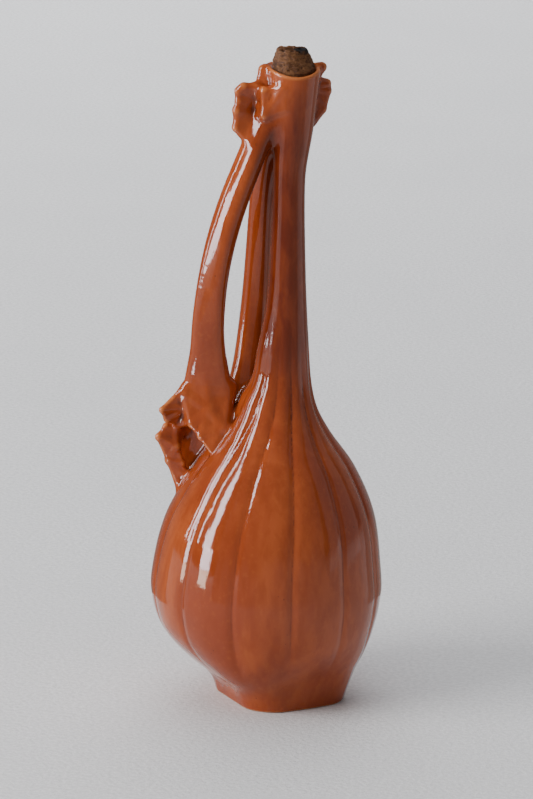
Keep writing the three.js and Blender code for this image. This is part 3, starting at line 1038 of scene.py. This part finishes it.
def glaze_material():
    """Glossy orange-brown glaze: lighter on edges where it breaks thin, with a painted highlight there
    too, and darker where it pools in hollows, with painted shade there too.
    """
    material, nodes = new_material("orange_brown_glaze")
    flow = nodes.place((1.0, 1.0, 0.32))
    even = nodes.place()
    clouds = nodes.noise(flow, 34, 4, 0.55, 0.6)
    streaks = nodes.noise(flow, 170, 3, 0.6, 0.3)
    mottle = nodes.noise(even, 420, 3, 0.6)
    bare = nodes.attribute("bare")
    thick_and_shade = nodes.math("MULTIPLY", nodes.attribute("thick_and_shade"), nodes.remap(streaks, 0.3, 0.65, 0.75, 1.0))
    bend = nodes.math("ADD", nodes.attribute("curve"), nodes.remap(streaks, 0.3, 0.7, -0.05, 0.05))
    speck = nodes.remap(nodes.voronoi(even, 210), 0.10, 0.05, 0.0, 0.7)
    speck = nodes.math("MULTIPLY", speck, nodes.remap(nodes.noise(even, 90, 2), 0.56, 0.64, 0.0, 1.0))
    colour = nodes.tint(GLAZE_DEEP, GLAZE_WARM, clouds, 0.36, 0.66)
    colour = nodes.tint(colour, GLAZE_STREAK, streaks, 0.40, 0.66, 0.42)
    colour = nodes.tint(colour, GLAZE_MOTTLE, mottle, 0.52, 0.74, 0.22)
    # Darker neck: thicker glaze, with painted shade where the handle arms shadow it.
    colour = nodes.mix(thick_and_shade, colour, GLAZE_THICK_AND_SHADE)
    # Darker hollows: pooled glaze, with painted shade in creases and under the leaves.
    colour = nodes.tint(colour, GLAZE_POOLED_AND_SHADED, bend, -0.12, -0.6, 0.85)
    # Lighter edges: glaze breaking thin, with a painted highlight along ridges.
    colour = nodes.tint(colour, GLAZE_BROKEN_AND_HIGHLIT, bend, 0.22, 0.95, 0.72)
    colour = nodes.mix(speck, colour, GLAZE_SPECK)
    colour = nodes.mix(bare, colour, nodes.tint(CLAY_DARK, CLAY_PALE, mottle, 0.3, 0.7))
    gloss = nodes.remap(nodes.noise(even, 60, 4), 0.35, 0.75, 0.045, 0.12)
    gloss = nodes.math("ADD", gloss, nodes.remap(bend, 0.4, 0.9, 0.0, 0.2))
    gloss = nodes.math("ADD", gloss, nodes.math("MULTIPLY", bare, 0.75))
    normal = nodes.bump(nodes.noise(flow, 95, 2, 0.5, 0.2), 0.0016, 0.16)
    normal = nodes.bump(nodes.noise(even, 520, 2), 0.0004, 0.07, normal)
    nodes.surface({"Base Color": colour, "Roughness": gloss, "Specular IOR Level": 0.38, "Normal": normal})
    return material


def room_reflection_glow_material(name, low_glow, high_glow):
    """A dim glowing surface for a painted room reflection: as bright as the floor at its foot and darker
    and uneven further up.
    """
    material, nodes = new_material(name)
    even = nodes.place()
    height = nodes.add("ShaderNodeSeparateXYZ", {"Vector": even}).outputs["Z"]
    uneven = nodes.remap(nodes.noise(even, 9, 2), 0.3, 0.7, -0.05, 0.05)
    glow = nodes.remap(nodes.math("ADD", height, uneven), 0.0, 0.16, low_glow, high_glow)
    nodes.surface({"Base Color": (0.02, 0.018, 0.016)})
    nodes.surface({"Emission Color": (1.0, 0.96, 0.94), "Emission Strength": glow})
    return material


def cork_material():
    """Natural cork: brown with paler grain, dark pits, and a blackened patch at one side of the top."""
    material, nodes = new_material("natural_cork")
    grain = nodes.noise(nodes.place((1.0, 1.0, 2.4)), 210, 5, 0.65, 0.8)
    fine = nodes.noise(nodes.place(), 900, 3, 0.6)
    colour = nodes.tint(CORK_BROWN, CORK_TAN, grain, 0.36, 0.66)
    colour = nodes.tint(colour, CORK_PALE, fine, 0.5, 0.75, 0.4)
    colour = nodes.mix(nodes.attribute("pit"), colour, CORK_HOLLOW)
    colour = nodes.mix(nodes.attribute("scorch"), colour, CORK_BURNT)
    rough = nodes.remap(fine, 0.3, 0.7, 0.72, 0.95)
    normal = nodes.bump(fine, 0.0004, 0.5, nodes.bump(grain, 0.0012, 0.55))
    nodes.surface({"Base Color": colour, "Roughness": rough, "Specular IOR Level": 0.25, "Normal": normal})
    return material


def plaster_material():
    """Pale plaster with a fine grain."""
    material, nodes = new_material("floor_plaster")
    even = nodes.place()
    grain = nodes.noise(even, 430, 4, 0.65)
    stains = nodes.noise(even, 7, 3)
    colour = nodes.tint(PLASTER_GREY, PLASTER_WHITE, grain, 0.3, 0.7)
    colour = nodes.tint(colour, PLASTER_STAIN, stains, 0.35, 0.7, 0.25)
    normal = nodes.bump(grain, 0.0012, 0.5)
    nodes.surface({"Base Color": colour, "Roughness": 0.9, "Specular IOR Level": 0.2, "Normal": normal})
    return material


# ---- Cork ----

CORK_BOTTOM = 292.6
CORK_SHOULDER = 317.0
CORK_TOP = 326.6
CORK_CLEARANCE = 0.4
CORK_FOOT_BEVEL = 0.3
CORK_RIM = 2.3
CORK_HEAD_RADIUS = 10.4
CORK_HEAD_TAPER = 2.5
CORK_SEGMENTS = 150
CORK_SIDE_ROWS = 84
CORK_TOP_ROWS = 34
CORK_SEED = 11
CORK_PITS = 70
CORK_TOP_PITS = 0.3
CORK_LEAN = (-1.1, -0.3)
CORK_TILT = 0.3
SCORCH_PLACE = (4.6, 0.5, CORK_TOP)
SCORCH_SIZE = (5.2, 4.4, 2.6)
LATTICE = 32


def lattice_noise(places, size, seed):
    """Smooth noise from -1 to 1 at points, from random numbers on a lattice with cells of a size."""
    table = np.random.default_rng(seed).uniform(-1.0, 1.0, (LATTICE, LATTICE, LATTICE))
    scaled = places / size + 2 * LATTICE
    cell = np.floor(scaled).astype(int)
    part = scaled - cell
    part = part * part * (3.0 - 2.0 * part)
    total = np.zeros(len(places))
    for corner in CORNERS:
        weight = np.prod(np.where(corner, part, 1 - part), axis=1)
        near = np.mod(cell + corner, LATTICE)
        total += weight * table[near[:, 0], near[:, 1], near[:, 2]]
    return total


def cork_rings():
    """Height, radius and how free the surface is to be rough, from the bottom's middle to the top's."""
    rings = [(CORK_BOTTOM, r, 0.2) for r in (0.0, 2.0, 4.5, 6.2)]
    for z in np.linspace(CORK_BOTTOM + CORK_FOOT_BEVEL, CORK_TOP - CORK_RIM, CORK_SIDE_ROWS):
        shaft = SEAT_BOTTOM_RADIUS + SEAT_TAPER * (min(z, SEAT_TOP) - SEAT_BOTTOM) - CORK_CLEARANCE
        head = CORK_HEAD_RADIUS - CORK_HEAD_TAPER * smoothstep(z, CORK_SHOULDER + 1.0, CORK_TOP)
        free = smoothstep(z, SEAT_TOP + 1.0, CORK_SHOULDER + 2.0)
        rings.append((z, shaft + (head - shaft) * free, free))
    for turn in np.linspace(0.0, math.pi / 2, CORK_TOP_ROWS)[1:]:
        z = CORK_TOP - CORK_RIM + CORK_RIM * math.sin(min(math.pi / 2, 2.6 * turn))
        rings.append((z, (CORK_HEAD_RADIUS - CORK_HEAD_TAPER) * math.cos(turn) ** 0.75, 1.0))
    return np.array(rings)


def cork_pits(places, random):
    """How deep each point lies in the cork's scattered pits, 0 to 1. Pits are wide and low."""
    depth = np.zeros(len(places))
    for _ in range(CORK_PITS):
        angle = random.uniform(0.0, 2 * math.pi)
        out = np.array([math.cos(angle), math.sin(angle)]) * CORK_HEAD_RADIUS
        middle = np.array([*out, random.uniform(SEAT_TOP, CORK_TOP + 0.5)])
        if random.random() < CORK_TOP_PITS:
            middle[:2] *= random.uniform(0.1, 0.9)
            middle[2] = CORK_TOP
        size = np.array([1.0, 1.0, 0.55]) * random.uniform(0.7, 2.2)
        distance = np.linalg.norm((places - middle) / size, axis=1)
        depth = np.maximum(depth, random.uniform(0.5, 1.0) * (1.0 - smoothstep(distance, 0.3, 1.0)))
    return depth


def cork_roughness(places):
    """Bumps of three sizes, 1.3 mm in or out at most."""
    rough = 0.7 * lattice_noise(places, 5.0, CORK_SEED) + 0.45 * lattice_noise(places, 2.1, CORK_SEED + 1)
    return rough + 0.16 * lattice_noise(places * np.array([1, 1, 1.8]), 0.9, CORK_SEED + 2)


def ring_faces(count):
    """Quads between rings."""
    i = np.arange(CORK_SEGMENTS)
    j = np.roll(i, -1)
    around = np.stack([i, j, j + CORK_SEGMENTS, i + CORK_SEGMENTS], axis=1)
    return np.concatenate([around + row * CORK_SEGMENTS for row in range(count - 1)])


def cork_mesh():
    """Vertices and faces of the stopper, with its pit and scorch values at each vertex."""
    rings = cork_rings()
    z, radius, free = np.repeat(rings, CORK_SEGMENTS, axis=0).T
    angle = np.tile(np.linspace(0.0, 2 * math.pi, CORK_SEGMENTS, endpoint=False), len(rings))
    x, y = radius * np.cos(angle), radius * np.sin(angle)
    places = np.stack([x, y, z], axis=1)
    rough = cork_roughness(places)
    pit = cork_pits(places, np.random.default_rng(CORK_SEED)) * free
    shrink = 1.0 - free * (0.25 - rough + 1.3 * pit) / CORK_HEAD_RADIUS
    drop = 0.9 * free * smoothstep(z, CORK_TOP - 3.0, CORK_TOP) * (pit - rough)
    lean = smoothstep(z, SEAT_TOP + 1.0, CORK_TOP)
    vertices = np.stack([
        x * shrink + MOUTH_LEAN * math.cos(MOUTH_LEAN_ANGLE) + CORK_LEAN[0] * lean,
        y * shrink + MOUTH_LEAN * math.sin(MOUTH_LEAN_ANGLE) + CORK_LEAN[1] * lean,
        z - drop - CORK_TILT * x / CORK_HEAD_RADIUS * lean,
    ], axis=1)
    far = np.linalg.norm((places - SCORCH_PLACE) / SCORCH_SIZE, axis=1)
    scorch = 1.0 - smoothstep(far + 0.25 * rough, 0.7, 1.05)
    return vertices, ring_faces(len(rings)), pit, scorch


def weld(obj, distance):
    """Joins vertices that lie together, such as the rings that have shrunk to a point."""
    mesh = bmesh.new()
    mesh.from_mesh(obj.data)
    bmesh.ops.remove_doubles(mesh, verts=mesh.verts, dist=distance)
    bmesh.ops.dissolve_degenerate(mesh, edges=mesh.edges, dist=distance)
    mesh.to_mesh(obj.data)
    mesh.free()


def make_cork():
    vertices, faces, pit, scorch = cork_mesh()
    cork = mesh_object("cork", vertices * MM, faces)
    float_attribute(cork, "pit", pit)
    float_attribute(cork, "scorch", scorch)
    weld(cork, 1e-6)
    shade_smooth(cork)
    cork.data.materials.append(CORK)
    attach(cork, "cork")
    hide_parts("cork_stopper")


# ---- Ceramic ----


def make_ceramic():
    points, quads = ceramic_mesh()
    across = faces_across_edges(quads)
    owner = join_islands(smooth_owners(face_owners(points, quads), across), across)
    # The neck mask carries thicker glaze and painted shade from the handle arms; the curvature lets the
    # glaze paint shade into hollows and highlight onto edges.
    values = {"curve": curvature(points), "bare": bare_clay(points), "thick_and_shade": thick_glaze_and_arm_shade(points)}
    slope = field_slope(points)
    normals = slope / np.linalg.norm(slope, axis=1, keepdims=True)
    for index, (name, parts) in enumerate(PIECES.items()):
        used, middles, polygons = closed_piece(points, quads[owner == index])
        piece = mesh_object(name, np.concatenate([points[used], middles]) * MM, polygons)
        padding = np.zeros(len(middles))
        for attribute, value in values.items():
            float_attribute(piece, attribute, np.concatenate([value[used], padding]))
        shade_smooth(piece)
        piece.data.normals_split_custom_set_from_vertices(
            [tuple(n) for n in normals[used]] + [(0.0, 0.0, 0.0)] * len(middles)
        )
        piece.data.materials.append(GLAZE)
        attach(piece, "bottle")
        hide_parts(*[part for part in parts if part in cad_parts])


# ---- Assembly ----

make_camera()
make_lights()
make_world()
make_floor()
# Glowing screens that stand in for the room: painted reflections, seen only in the glaze.
make_flag("room_front", -50, 60, 0.55, 1.1, 0.66, 0.36)
make_flag("room_left", -172, -98, 0.17, 0.5, 0.22, 0.14)
make_flag("room_right", 110, 172, 0.17, 0.5, 0.31, 0.26)

GLAZE = glaze_material()
CORK = cork_material()

make_ceramic()
make_cork()
